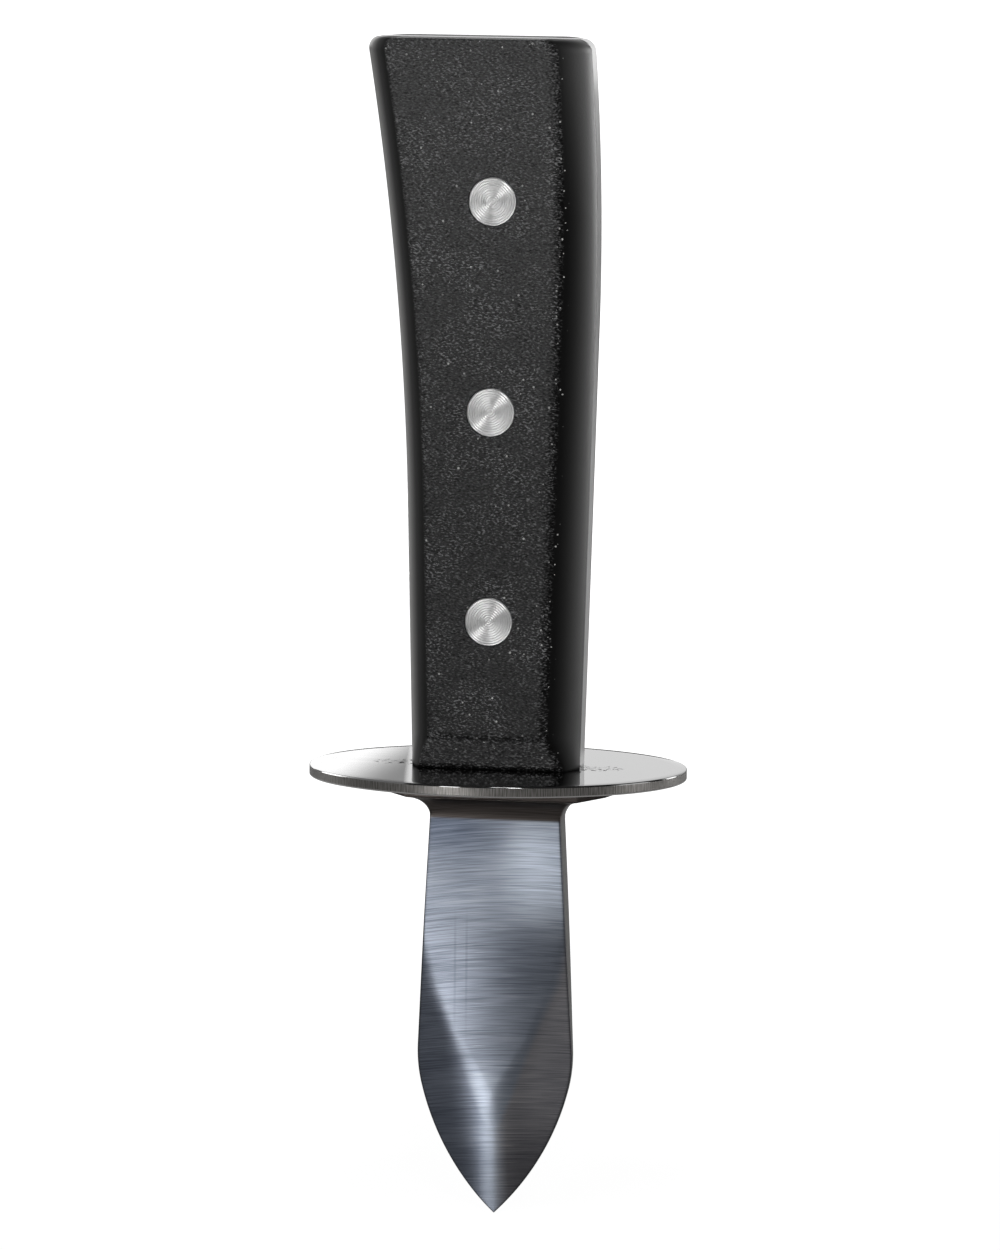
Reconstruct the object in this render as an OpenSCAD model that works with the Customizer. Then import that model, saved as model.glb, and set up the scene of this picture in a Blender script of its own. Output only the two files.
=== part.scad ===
// Oyster knife: one forging from tip to butt, an oval finger guard and two riveted scales.
// It stands upright on its point, with the flat front scale towards -Y and the curved heel towards -X.

/* [Blade] */
// Length from the point to the rim of the bolster flange
blade_length = 62; // [50:0.5:80]
// Thickness of the blade where it is full
blade_t = 3.8; // [3:0.1:5]
// Width of the neck just under the bolster
neck_w = 19.2; // [16:0.2:24]
// Greatest width, at the shoulder above the point
shoulder_w = 23; // [20:0.2:27]
// Height of the shoulder above the point
shoulder_z = 22; // [18:0.5:26]
// Radius that rounds the shoulder
shoulder_r = 20; // [8:1:28]
// Radius of the two arcs that meet in the point
point_r = 38; // [30:1:50]
// Thickness left along the blunt edge
edge_t = 0.8; // [0.4:0.1:1.2]
// Width of the bevels, measured square to the edge
bevel_w = 7.5; // [5:0.25:9]
// Lean of the straight stretch in which the bevels run out on the flanks
bevel_lean = 16.8; // [12:0.2:22]

/* [Bolster] */
// Width of the flange that carries the guard
flange_w = 36.4; // [35:0.2:42]
// Depth of the flange from front to back
flange_d = 10; // [9:0.5:18]
// Thickness of the flange at its rim
flange_t = 1.8; // [1.2:0.1:4]
// Radius of the hollow between the neck and the flange
flare_r = 3.2; // [2:0.1:4]
// Slope of the flange's underside, in degrees
flare_slope = 11; // [5:1:20]

/* [Guard] */
// Width of the oval plate
guard_w = 54.6; // [48:0.2:64]
// Depth of the oval plate from front to back
guard_d = 47.8; // [40:0.2:54]
// Thickness of the plate
guard_t = 1.6; // [1.2:0.1:2.5]
// Radius of the oval's ends
guard_end_r = 22; // [19:0.5:23]
// Width of the boss that fills the slot of the guard
boss_w = 34; // [33:0.2:35]
// Gap between the boss and its slot, on each side
slot_gap = 0.05; // [0.02:0.01:0.1]

/* [Handle] */
// Length from the guard to the butt
handle_length = 104.6; // [95:0.2:120]
// Thickness over both scales
handle_t = 15.8; // [13:0.2:20]
// Width at the guard
root_w = 24.6; // [20:0.2:28]
// Outward lean of the straight stretch of each side
side_lean = 1.45; // [0.5:0.05:2]
// Length of the straight stretch on the curved side
heel_straight = 36; // [20:1:60]
// Radius of the hollow curve that flares out to the heel
heel_r = 490; // [400:10:900]
// Length of the straight stretch on the opposite side
back_straight = 64; // [40:1:75]
// Radius of the round curve that closes towards the butt
back_r = 390; // [300:10:900]
// Radius of the two corners at the butt
corner_r = 2; // [1:0.25:3]
// How far the crowned sides step in from the tang to the flat face
crown_inset = 3.7; // [2.5:0.1:4.5]
// Radius of the crown of the sides
crown_r = 13; // [10:0.5:20]
// Height of the bevel on each scale above the guard
foot_bevel_h = 4.9; // [3:0.1:7]
// Depth of that bevel
foot_bevel_d = 2.5; // [1:0.1:3.5]
// Width of the small bevel between each flat face and the butt
butt_bevel = 0.5; // [0.3:0.1:1]
// Thickness of the tang
tang_t = 3; // [2.4:0.1:4]

/* [Rivets] */
// Diameter of the rivet heads
head_d = 7; // [6:0.5:8]
// Thickness of the rivet heads
head_t = 2; // [1.5:0.1:2.5]
// Outer diameter of the tube on the rear half
tube_d = 4.8; // [4:0.1:5.2]
// Diameter of the pin on the front half
pin_d = 3.4; // [2.6:0.1:3.6]
// Gap around heads, tubes and pins, measured on the radius
rivet_gap = 0.04; // [0.02:0.01:0.1]
// Gap left at the blind end of each pin and tube
end_gap = 0.5; // [0.3:0.1:1]
// Height of the lowest rivet above the guard
first_rivet = 21.6; // [15:0.2:28]
// Distance from one rivet to the next
rivet_pitch = 30; // [24:0.5:34]

/* [Hidden] */
$fn = 96;
// The faces of the handle, as signs of Y
FRONT = -1;
REAR = 1;
// Rivets along the handle, from the guard to the butt
RIVETS = [0:2];
// Fineness of the long arcs
LONG_ARC_FN = 720;
// Angle that the curved stretch of the bevels sweeps, enough to pass the point
POINT_SWEEP = 60;
// Waste solids reach this far past the faces they trim
over = 1;
// Each round corner cuts its side this deep, because a circle that only touches it leaves a sliver
corner_bite = 0.05;

guard_z = blade_length + flange_t;
handle_z = guard_z + guard_t;
butt_z = handle_z + handle_length;

// The point's arc goes through the point and the shoulder, with its centre across the middle line
half_chord = norm([shoulder_w / 2, shoulder_z]) / 2;
chord_tilt = atan2(shoulder_w / 2, shoulder_z);
arc_rise = sqrt(point_r * point_r - half_chord * half_chord);
arc_x = shoulder_w / 4 - arc_rise * cos(chord_tilt);
arc_z = shoulder_z / 2 + arc_rise * sin(chord_tilt);

// The hollow starts at the top of the blade, upright, and runs into the flange's underside
flare_run = (flange_w - neck_w) / 2;
neck_z = blade_length - (flare_run - flare_r) * tan(flare_slope) - flare_r / cos(flare_slope);

// The shoulder's arc touches the straight flank above it and the point's arc below it
flank_lean = atan2((shoulder_w - neck_w) / 2, neck_z - shoulder_z);
flank_out = [cos(flank_lean), sin(flank_lean)];
flank_up = [-sin(flank_lean), cos(flank_lean)];
shoulder_reach = [shoulder_w / 2 - arc_x, shoulder_z - arc_z] - shoulder_r * flank_out;
shoulder_dip = shoulder_reach * flank_up;
shoulder_rise = -shoulder_dip
    - sqrt(pow(shoulder_dip, 2) - shoulder_reach * shoulder_reach + pow(point_r - shoulder_r, 2));
shoulder_c = [arc_x, arc_z] + shoulder_reach + shoulder_rise * flank_up;
shoulder_top = shoulder_c + shoulder_r * flank_out;
shoulder_foot = arc_z + point_r * (shoulder_c[1] - arc_z) / (point_r - shoulder_r);

bevel_rise = (blade_t - edge_t) / 2;
bevel_tan = bevel_rise / bevel_w;
edge_spread = edge_t / 2 / bevel_tan;

// The oval's long arcs touch its round ends
oval_end_x = guard_w / 2 - guard_end_r;
oval_r = (pow(oval_end_x, 2) + pow(guard_d / 2, 2) - pow(guard_end_r, 2)) / (guard_d - 2 * guard_end_r);
oval_shift = oval_r - guard_d / 2;
oval_touch = oval_end_x + guard_end_r * oval_end_x / (oval_r - guard_end_r);

// The crown is an arc from the edge of the tang to the edge of the flat face
scale_t = (handle_t - tang_t) / 2;
crown_chord = norm([crown_inset, scale_t]);
crown_rise = sqrt(crown_r * crown_r - crown_chord * crown_chord / 4);
crown_x = -crown_inset / 2 - crown_rise * scale_t / crown_chord;
crown_y = tang_t / 2 + scale_t / 2 - crown_rise * crown_inset / crown_chord;

tube_end = handle_t / 2 - head_t - end_gap;

// Half outline of the blade in the plane of its width, right of the middle line. The straight part
// reaches down inside the arcs, so that the three pieces overlap and make one outline.
module blade_outline() {
    polygon([[0, shoulder_foot / 2], [shoulder_w / 4, shoulder_foot / 2], shoulder_top,
             [neck_w / 2, neck_z], [0, neck_z]]);
    intersection() {
        translate(shoulder_c) circle(shoulder_r, $fn = LONG_ARC_FN);
        translate([0, shoulder_foot]) square([shoulder_w / 2, shoulder_top[1] - shoulder_foot]);
    }
    intersection() {
        translate([arc_x, arc_z]) circle(point_r, $fn = LONG_ARC_FN);
        translate([0, -over]) square([shoulder_w / 2, shoulder_foot + over]);
    }
}

// Blade blank: both halves of the outline, as thick as the forging
module blade_blank() {
    rotate([90, 0, 0])
        linear_extrude(blade_t, center = true)
            for (side = [0, 1])
                mirror([side, 0]) blade_outline();
}

// Section through the space under one pair of bevels, from the arc's centre out past the edge
module bevel_section() {
    polygon([[0, -blade_t / 2], [point_r - bevel_w, -blade_t / 2], [point_r + edge_spread, 0],
             [point_r - bevel_w, blade_t / 2], [0, blade_t / 2]]);
}

// Space under the right-hand bevels: they follow the point's arc, then run out along a straight line
module bevel_envelope() {
    translate([arc_x, 0, arc_z])
        rotate([90, 0, 0])
            rotate([0, 0, -bevel_lean]) {
                rotate([0, 0, -POINT_SWEEP])
                    rotate_extrude(angle = POINT_SWEEP, $fn = LONG_ARC_FN) bevel_section();
                rotate([-90, 0, 0]) linear_extrude(blade_length) bevel_section();
            }
}

// Profile of neck and flange over a neck of the given width, with a round hollow on both sides
module flare_profile(neck) {
    hollow_x = neck / 2 + flare_r;
    for (side = [0, 1])
        mirror([side, 0])
            difference() {
                polygon([[0, neck_z], [hollow_x, neck_z],
                         [hollow_x - flare_r * sin(flare_slope), neck_z + flare_r * cos(flare_slope)],
                         [neck / 2 + flare_run, blade_length], [neck / 2 + flare_run, guard_z],
                         [0, guard_z]]);
                translate([hollow_x, neck_z]) circle(flare_r);
            }
}

// Flat bar with round ends, lying along X
module bar(length, width) {
    square([length - width, width], center = true);
    for (side = [-1, 1])
        translate([side * (length - width) / 2, 0]) circle(width / 2);
}

// Neck flare and flange: the hollows of the sides and of the faces meet in mitres
module bolster() {
    intersection() {
        rotate([90, 0, 0]) linear_extrude(2 * flange_d, center = true) flare_profile(neck_w);
        rotate([90, 0, 90]) linear_extrude(2 * flange_w, center = true) flare_profile(blade_t);
        linear_extrude(guard_z) bar(flange_w, flange_d);
    }
}

// Section of what is trimmed off beside the handle: x runs outwards from the edge of the tang
module side_waste() {
    reach = handle_t / 2 + over;
    inner = crown_inset + over;
    difference() {
        translate([-inner, -reach]) square([inner + root_w, 2 * reach]);
        translate([-inner, -tang_t / 2]) square([inner, tang_t]);
        for (face = [0, 1])
            mirror([0, face])
                intersection() {
                    translate([crown_x, crown_y]) circle(crown_r);
                    translate([-inner, tang_t / 2]) square([inner, reach]);
                }
    }
}

// Waste along one side: a straight stretch from the guard, then an arc that bends out or in
module side_sweep(straight, radius, bends_out) {
    arc_length = handle_length - straight + 3 * over;
    sweep = arc_length / radius * 180 / PI;
    translate([root_w / 2, 0, handle_z])
        rotate([0, side_lean, 0]) {
            translate([0, 0, -over]) linear_extrude(straight + over) side_waste();
            translate([bends_out ? radius : -radius, 0, straight])
                rotate([90, 0, 0])
                    rotate([0, 0, bends_out ? 180 - sweep : 0])
                        rotate_extrude(angle = sweep, $fn = LONG_ARC_FN)
                            translate([radius, 0])
                                mirror([bends_out ? 1 : 0, 0])
                                    side_waste();
        }
}

// Where a side's straight stretch ends and its arc begins, seen from the front
function knee(straight) =
    [root_w / 2 + straight * sin(side_lean), handle_z + straight * cos(side_lean)];

// Centre of that arc: outside the handle where it bends out, across it where it bends in
function arc_centre(straight, radius, bends_out) =
    knee(straight) + (bends_out ? radius : -radius) * [cos(side_lean), -sin(side_lean)];

// What is cut off outside one rounded corner at the butt, where the top meets a side's arc
module corner_cut(straight, radius, bends_out) {
    arc = arc_centre(straight, radius, bends_out);
    outward = bends_out ? 1 : -1;
    height = butt_z - corner_r;
    reach = radius + outward * (corner_r - corner_bite);
    middle = [arc[0] - outward * sqrt(pow(reach, 2) - pow(height - arc[1], 2)), height];
    to_side = outward * (arc - middle) / reach;
    difference() {
        polygon([middle, middle + [0, 2 * corner_r], middle + 3 * corner_r * [1, 1],
                 middle + 3 * corner_r * to_side]);
        translate(middle) circle(corner_r);
    }
}

// Keeps what lies outside the second shape, or inside it
module trim(outside) {
    if (outside)
        difference() { children(0); children(1); }
    else
        intersection() { children(0); children(1); }
}

// Half outline of the handle, from the middle line to one side
module half_outline(straight, radius, bends_out) {
    bend = knee(straight);
    polygon([[0, handle_z], [root_w / 2, handle_z], bend, [0, bend[1]]]);
    difference() {
        trim(bends_out) {
            translate([0, bend[1]]) square([2 * root_w, butt_z - bend[1]]);
            translate(arc_centre(straight, radius, bends_out)) circle(radius, $fn = LONG_ARC_FN);
        }
        corner_cut(straight, radius, bends_out);
    }
}

module handle_outline() {
    half_outline(back_straight, back_r, false);
    mirror([1, 0]) half_outline(heel_straight, heel_r, true);
}

// Everything that is trimmed off a scale beside its crowned sides and rounded corners
module scale_waste() {
    side_sweep(back_straight, back_r, false);
    mirror([1, 0, 0]) side_sweep(heel_straight, heel_r, true);
    rotate([90, 0, 0])
        linear_extrude(handle_t + 2 * over, center = true) {
            corner_cut(back_straight, back_r, false);
            mirror([1, 0]) corner_cut(heel_straight, heel_r, true);
        }
}

// Places what follows on a rivet's axis, with its Z pointing to the given face of the handle
module on_rivet(index, face) {
    translate([0, 0, handle_z + first_rivet + index * rivet_pitch])
        rotate([-90 * face, 0, 0])
            children();
}

// Full tang, as wide as the scales, with a hole for each rivet
module tang() {
    difference() {
        rotate([90, 0, 0]) linear_extrude(tang_t, center = true) handle_outline();
        for (index = RIVETS)
            on_rivet(index, REAR) cylinder(h = handle_t, d = tube_d + 2 * rivet_gap, center = true);
    }
}

// The forging: blade, bolster, the boss that fills the guard's slot, and the tang
module blade_and_tang() {
    color("slategray") {
        intersection() {
            blade_blank();
            bevel_envelope();
            mirror([1, 0, 0]) bevel_envelope();
        }
        bolster();
        translate([0, 0, guard_z]) linear_extrude(guard_t) bar(boss_w, tang_t);
        tang();
    }
}

// Oval plate of four arcs, with the slot through which it slides over the tang
module guard() {
    color("gainsboro")
        translate([0, 0, guard_z])
            linear_extrude(guard_t)
                difference() {
                    union() {
                        intersection() {
                            translate([0, oval_shift]) circle(oval_r, $fn = LONG_ARC_FN);
                            translate([0, -oval_shift]) circle(oval_r, $fn = LONG_ARC_FN);
                            square([2 * oval_touch, guard_d], center = true);
                        }
                        for (side = [-1, 1])
                            translate([side * oval_end_x, 0]) circle(guard_end_r, $fn = LONG_ARC_FN);
                    }
                    bar(boss_w + 2 * slot_gap, tang_t + 2 * slot_gap);
                }
}

// Side view of a scale: upright on the tang, with a bevel at the foot and a small one at the butt
module scale_profile() {
    polygon([[-tang_t / 2, handle_z], [-tang_t / 2, butt_z],
             [-handle_t / 2 + butt_bevel, butt_z], [-handle_t / 2, butt_z - butt_bevel],
             [-handle_t / 2, handle_z + foot_bevel_h], [-handle_t / 2 + foot_bevel_d, handle_z]]);
}

// One scale on the given face: bevelled ends, crowned sides, three stepped rivet holes
module scale_slab(face) {
    mirror([0, face == REAR ? 1 : 0, 0])
        difference() {
            rotate([90, 0, 90]) linear_extrude(2 * root_w, center = true) scale_profile();
            scale_waste();
            for (index = RIVETS)
                on_rivet(index, FRONT) {
                    cylinder(h = handle_t, d = tube_d + 2 * rivet_gap);
                    translate([0, 0, handle_t / 2 - head_t])
                        cylinder(h = head_t + over, d = head_d + 2 * rivet_gap);
                }
        }
}

module front_scale() {
    color("#2b2b2d") scale_slab(FRONT);
}

module rear_scale() {
    color("#2b2b2d") scale_slab(REAR);
}

// Front half of a rivet: head and solid pin
module front_rivet(index) {
    color("whitesmoke")
        on_rivet(index, FRONT) {
            translate([0, 0, handle_t / 2 - head_t]) cylinder(h = head_t, d = head_d);
            translate([0, 0, -tube_end]) cylinder(h = handle_t / 2 + tube_end - head_t, d = pin_d);
        }
}

// Rear half of a rivet: head and the tube that grips the pin
module rear_rivet(index) {
    color("whitesmoke")
        on_rivet(index, REAR)
            difference() {
                union() {
                    translate([0, 0, handle_t / 2 - head_t]) cylinder(h = head_t, d = head_d);
                    translate([0, 0, -tube_end]) cylinder(h = handle_t / 2 + tube_end - head_t, d = tube_d);
                }
                translate([0, 0, -tube_end - over])
                    cylinder(h = 2 * tube_end + end_gap + over, d = pin_d + 2 * rivet_gap);
            }
}

module front_rivet_bottom() { front_rivet(0); }
module front_rivet_middle() { front_rivet(1); }
module front_rivet_top() { front_rivet(2); }
module rear_rivet_bottom() { rear_rivet(0); }
module rear_rivet_middle() { rear_rivet(1); }
module rear_rivet_top() { rear_rivet(2); }

blade_and_tang();
guard();
front_scale();
rear_scale();
front_rivet_bottom();
front_rivet_middle();
front_rivet_top();
rear_rivet_bottom();
rear_rivet_middle();
rear_rivet_top();
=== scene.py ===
# %% [markdown]
# An oyster knife, seen nearly level from the front. The construction is loaded as a fixed frame, and
# the finish of each piece is built around it: pebbled black scales, turned rivet heads, a polished oval
# guard and a brushed blade with soft bevels. Everything is in metres, with the point of the blade at
# the origin, the front of the knife towards -Y and the flared heel of the handle towards -X.

# %% Load the frame
import math

import bmesh
import bpy
import numpy as np
from mathutils import Matrix, Vector


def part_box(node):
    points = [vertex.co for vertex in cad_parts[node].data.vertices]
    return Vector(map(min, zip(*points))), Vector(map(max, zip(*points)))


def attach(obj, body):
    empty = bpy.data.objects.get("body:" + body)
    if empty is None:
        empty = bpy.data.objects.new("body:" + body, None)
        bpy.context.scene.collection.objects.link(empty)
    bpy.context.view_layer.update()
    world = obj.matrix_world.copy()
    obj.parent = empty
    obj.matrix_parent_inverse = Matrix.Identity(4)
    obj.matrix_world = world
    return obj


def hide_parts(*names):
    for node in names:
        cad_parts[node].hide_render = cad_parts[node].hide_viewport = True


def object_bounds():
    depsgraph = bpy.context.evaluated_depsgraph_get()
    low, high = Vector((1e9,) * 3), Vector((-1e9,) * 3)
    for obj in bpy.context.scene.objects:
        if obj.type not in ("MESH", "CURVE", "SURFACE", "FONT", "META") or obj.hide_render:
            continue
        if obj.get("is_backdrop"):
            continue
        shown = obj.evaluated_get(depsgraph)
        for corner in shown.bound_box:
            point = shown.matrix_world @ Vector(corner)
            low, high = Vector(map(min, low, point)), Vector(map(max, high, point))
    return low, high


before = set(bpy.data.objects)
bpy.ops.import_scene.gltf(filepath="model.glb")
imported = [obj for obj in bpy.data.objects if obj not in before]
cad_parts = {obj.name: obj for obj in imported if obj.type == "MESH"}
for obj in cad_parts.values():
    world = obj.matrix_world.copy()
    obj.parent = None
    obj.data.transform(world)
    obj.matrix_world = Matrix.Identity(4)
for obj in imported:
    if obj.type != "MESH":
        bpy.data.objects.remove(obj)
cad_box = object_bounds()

MM = 0.001
print("nodes:", ", ".join(sorted(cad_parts)))

# %% [markdown]
# The camera comes first, because every later choice is judged through it. The photograph was taken with
# a long lens from just over a metre away, a little to the right of the knife and a few degrees above
# it. Azimuth, elevation and roll were found by fitting the oval guard, the rivets and the outline of
# the handle.

# %% Camera
IMAGE_H = 1250
CAMERA_AZIMUTH, CAMERA_ELEVATION = 11.65, 6.39
CAMERA_ROLL = math.radians(0.55)
CAMERA_DISTANCE = 1140 * MM
CAMERA_AIM = Vector((0.09, 0, 85.7)) * MM
FOCAL_PIXELS = 7931
SENSOR_MM = 36


def new_object(name, data):
    """An object that holds a mesh, a lamp or a camera, linked to the scene."""
    made = bpy.data.objects.new(name, data)
    bpy.context.scene.collection.objects.link(made)
    return made


def way_to(azimuth, elevation):
    """The unit vector from the knife along two angles in degrees. Azimuth 0 is its front."""
    a, e = math.radians(azimuth), math.radians(elevation)
    return Vector((math.sin(a) * math.cos(e), -math.cos(a) * math.cos(e), math.sin(e)))


camera_data = bpy.data.cameras.new("camera")
camera_data.sensor_width = SENSOR_MM
camera_data.lens = FOCAL_PIXELS / IMAGE_H * SENSOR_MM
camera = new_object("camera", camera_data)
backward = way_to(CAMERA_AZIMUTH, CAMERA_ELEVATION)
turn = (-backward).to_track_quat("-Z", "Y").to_matrix().to_4x4()
roll = Matrix.Rotation(CAMERA_ROLL, 4, "Z")
camera.matrix_world = Matrix.Translation(CAMERA_AIM + backward * CAMERA_DISTANCE) @ turn @ roll
bpy.context.scene.camera = camera
print("lens", round(camera_data.lens, 1), "mm")

# %% [markdown]
# The driving sizes are read from the frame wherever a node's box gives them, so that the looks can't
# drift away from the construction. The others repeat its named sizes, in millimetres, because a box
# can't tell a radius or a lean.

# %% Sizes
guard_lo, guard_hi = (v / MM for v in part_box("guard"))
scale_lo, scale_hi = (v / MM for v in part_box("front_scale"))
head_lo, head_hi = (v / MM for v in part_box("front_rivet_top"))
GUARD_Z, HANDLE_Z, BUTT_Z = guard_lo.z, guard_hi.z, scale_hi.z
GUARD_W, GUARD_D = guard_hi.x - guard_lo.x, guard_hi.y - guard_lo.y
FACE_Y, TANG_Y = -scale_lo.y, -scale_hi.y
HEAD_R = (head_hi.x - head_lo.x) / 2
RIVET_Z = [sum(corner.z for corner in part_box(f"front_rivet_{spot}")) / 2 / MM
           for spot in ("bottom", "middle", "top")]

ROOT_W = 24.6
SIDE_LEAN = math.radians(1.45)
HEEL = {"straight": 36, "radius": 490, "bends": 1}
BACK = {"straight": 64, "radius": 390, "bends": -1}
CORNER_R = 2
CROWN_INSET, CROWN_R = 3.7, 13
FOOT_H, FOOT_D = 4.9, 2.5
print(f"guard {GUARD_W:.2f} x {GUARD_D:.2f}, handle from {HANDLE_Z:.2f} to {BUTT_Z:.2f}, rivets at",
      [round(z, 2) for z in RIVET_Z])

# %% [markdown]
# Nodes are easier to follow when a line of code reads like a formula. The helpers below take sockets or
# plain values and find the node tree through the sockets, so times(a, b) multiplies two masks. Others
# turn arrays of points and faces into an object.

# %% Helpers for nodes
def plug(socket, value):
    """Feeds an input with a link from another socket, or else with a plain value."""
    if isinstance(value, bpy.types.NodeSocket):
        socket.id_data.links.new(value, socket)
    else:
        socket.default_value = value


def feed(node, **values):
    """Feeds inputs of a node by their names, with _ for a space."""
    for label, value in values.items():
        plug(node.inputs[label.replace("_", " ")], value)
    return node


def add(tree, kind, values=None, **settings):
    """A new node with its settings, and its inputs fed by name or by number."""
    node = tree.nodes.new(kind)
    for name, value in settings.items():
        setattr(node, name, value)
    for name, value in (values or {}).items():
        plug(node.inputs[name], value)
    return node


def tree_of(*values):
    """The node tree of the first socket among some values."""
    return next(v.id_data for v in values if isinstance(v, bpy.types.NodeSocket))


def math_node(operation, *values, clamp=False):
    """A Math node over sockets and plain numbers."""
    node = add(tree_of(*values), "ShaderNodeMath", dict(enumerate(values)), operation=operation)
    node.use_clamp = clamp
    return node.outputs[0]


def joined_by(operation):
    """A function that joins values by Math nodes of one kind, first to last."""
    def join(first, *others):
        for other in others:
            first = math_node(operation, first, other)
        return first
    return join


plus, minus, times = joined_by("ADD"), joined_by("SUBTRACT"), joined_by("MULTIPLY")
over, largest = joined_by("DIVIDE"), joined_by("MAXIMUM")


def blend(factor, a, b, how="MIX"):
    """A colour Mix node. Each of a and b is a socket, a colour, or one number for a grey."""
    a, b = (v if isinstance(v, bpy.types.NodeSocket) else (*np.broadcast_to(v, 3), 1) for v in (a, b))
    inputs = {0: factor, 6: a, 7: b}
    return add(tree_of(factor, a, b), "ShaderNodeMix", inputs, data_type="RGBA", blend_type=how).outputs[2]


def ramp(value, low, high, out_low=0.0, out_high=1.0):
    """A smooth step of a value, from out_low at low to out_high at high."""
    inputs = {"Value": value, "From Min": low, "From Max": high, "To Min": out_low, "To Max": out_high}
    return add(value.id_data, "ShaderNodeMapRange", inputs, interpolation_type="SMOOTHSTEP").outputs[0]


def ramp_mm(value, low, high, out_low=0.0, out_high=1.0):
    """A ramp of a place or a distance, between limits in millimetres."""
    return ramp(value, low * MM, high * MM, out_low, out_high)


def noise(where, scale, detail=2.0, roughness=0.5, dimensions="3D", **more):
    """A Noise texture at a vector. Four dimensions have one more input, W."""
    inputs = {"Vector": where, "Scale": scale, "Detail": detail, "Roughness": roughness, **more}
    return add(where.id_data, "ShaderNodeTexNoise", inputs, noise_dimensions=dimensions).outputs["Fac"]


def bump(height, distance, strength):
    """The normal that a Bump node makes of a height, as a share of the distance."""
    inputs = {"Height": height, "Distance": distance, "Strength": strength}
    return add(tree_of(height), "ShaderNodeBump", inputs).outputs[0]


def mapped(where, scale, turn=(0, 0, 0)):
    """A vector scaled and then turned: a texture read there is finer where the scale is greater."""
    inputs = {"Vector": where, "Rotation": turn, "Scale": scale}
    return add(where.id_data, "ShaderNodeMapping", inputs).outputs[0]


def axes(vector):
    """The X, Y and Z of a vector."""
    return add(vector.id_data, "ShaderNodeSeparateXYZ", {0: vector}).outputs[:]


def stored(tree, *labels):
    """The values that a mesh holds at its points under some names."""
    return [add(tree, "ShaderNodeAttribute", attribute_name=label).outputs["Fac"] for label in labels]


# %% Helpers for groups and materials
def new_group(name, kind, inputs, outputs):
    """A node group. Its sockets are given by a kind of value or, for a number, its usual value."""
    tree = bpy.data.node_groups.new(name, kind + "NodeTree")
    for way, sockets in (("INPUT", inputs), ("OUTPUT", outputs)):
        for label, given in sockets.items():
            kind = given if isinstance(given, str) else "Float"
            socket = tree.interface.new_socket(label, in_out=way, socket_type="NodeSocket" + kind)
            if kind != given:
                socket.default_value = given
    return tree, tree.nodes.new("NodeGroupInput").outputs, tree.nodes.new("NodeGroupOutput").inputs


def use_group(tree, name, **values):
    """The outputs of a node that runs a group."""
    return feed(add(tree, "ShaderNodeGroup", node_tree=bpy.data.node_groups[name]), **values).outputs


def new_material(name, **values):
    """A material with constants on its Principled BSDF, its tree and its Object coordinates."""
    material = bpy.data.materials.new(name)
    material.use_nodes = True
    tree = material.node_tree
    feed(tree.nodes["Principled BSDF"], **values)
    return material, tree, tree.nodes.new("ShaderNodeTexCoord").outputs["Object"]


def dress(material, **looks):
    """Feeds a material's Principled BSDF with its finished looks."""
    feed(material.node_tree.nodes["Principled BSDF"], **looks)
    print(material.name, "has", len(material.node_tree.nodes), "nodes")


# %% Helpers for meshes
def smooth(mesh, angle):
    """Smooth shading, with the edges that turn past an angle in degrees kept sharp."""
    mesh.shade_smooth()
    mesh.set_sharp_from_angle(angle=math.radians(angle))


def apply_modifier(piece, modifier):
    """Replaces a piece's mesh by what its modifier makes of it."""
    mesh = bpy.data.meshes.new_from_object(piece.evaluated_get(bpy.context.evaluated_depsgraph_get()))
    piece.modifiers.remove(modifier)
    piece.data = mesh
    mesh.name = piece.name


def tell(piece):
    """Prints a piece's count of faces and its corners in millimetres."""
    points = np.array([v.co for v in piece.data.vertices]) / MM
    print(piece.name, len(piece.data.polygons), "faces", points.min(0).round(2), points.max(0).round(2))


def finish_mesh(name, points, faces, material, stored_values, angle, uv=None):
    """An object at the origin from points in millimetres, with named values at its points."""
    mesh = bpy.data.meshes.new(name)
    mesh.from_pydata((np.asarray(points, float) * MM).tolist(), [], [list(map(int, f)) for f in faces])
    for label, values in stored_values.items():
        layer = mesh.attributes.new(label, "FLOAT", "POINT")
        layer.data.foreach_set("value", np.asarray(values, np.float32))
    if uv is not None:
        layer = mesh.uv_layers.new(name="along")
        corners = np.array([loop.vertex_index for loop in mesh.loops])
        layer.data.foreach_set("uv", np.asarray(uv, np.float32)[corners].ravel())
    mesh.materials.append(material)
    work = bmesh.new()
    work.from_mesh(mesh)
    bmesh.ops.recalc_face_normals(work, faces=work.faces)
    work.to_mesh(mesh)
    work.free()
    smooth(mesh, angle)
    return new_object(name, mesh)


def grid_faces(rows, columns, closed=False):
    """Quads of a grid of points stored row by row. closed joins each row's last point to its first."""
    i, j = np.meshgrid(np.arange(rows - 1), np.arange(columns if closed else columns - 1), indexing="ij")
    a = i * columns + j
    b = i * columns + (j + 1) % columns
    return np.stack([a, b, b + columns, a + columns], -1).reshape(-1, 4)


def soft_min(a, b, width):
    """The lesser of two heights, blended over a width so that no hard crease is left."""
    h = np.clip(width - np.abs(a - b), 0, None) / width
    return np.minimum(a, b) - h * h * width / 4


# %% [markdown]
# Two effects serve several finishes, so each is a shader node group. Brushed grain is fine noise drawn
# out along the strokes of the belt: it gives a height for the bump, a tone that changes the colour and
# a mask of single long scratches. The strokes bow and lean slightly, as they do when a blade is swung
# across a belt. Specks are tiny bright grains of dust, one to a cell, of which only some are kept.

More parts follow.
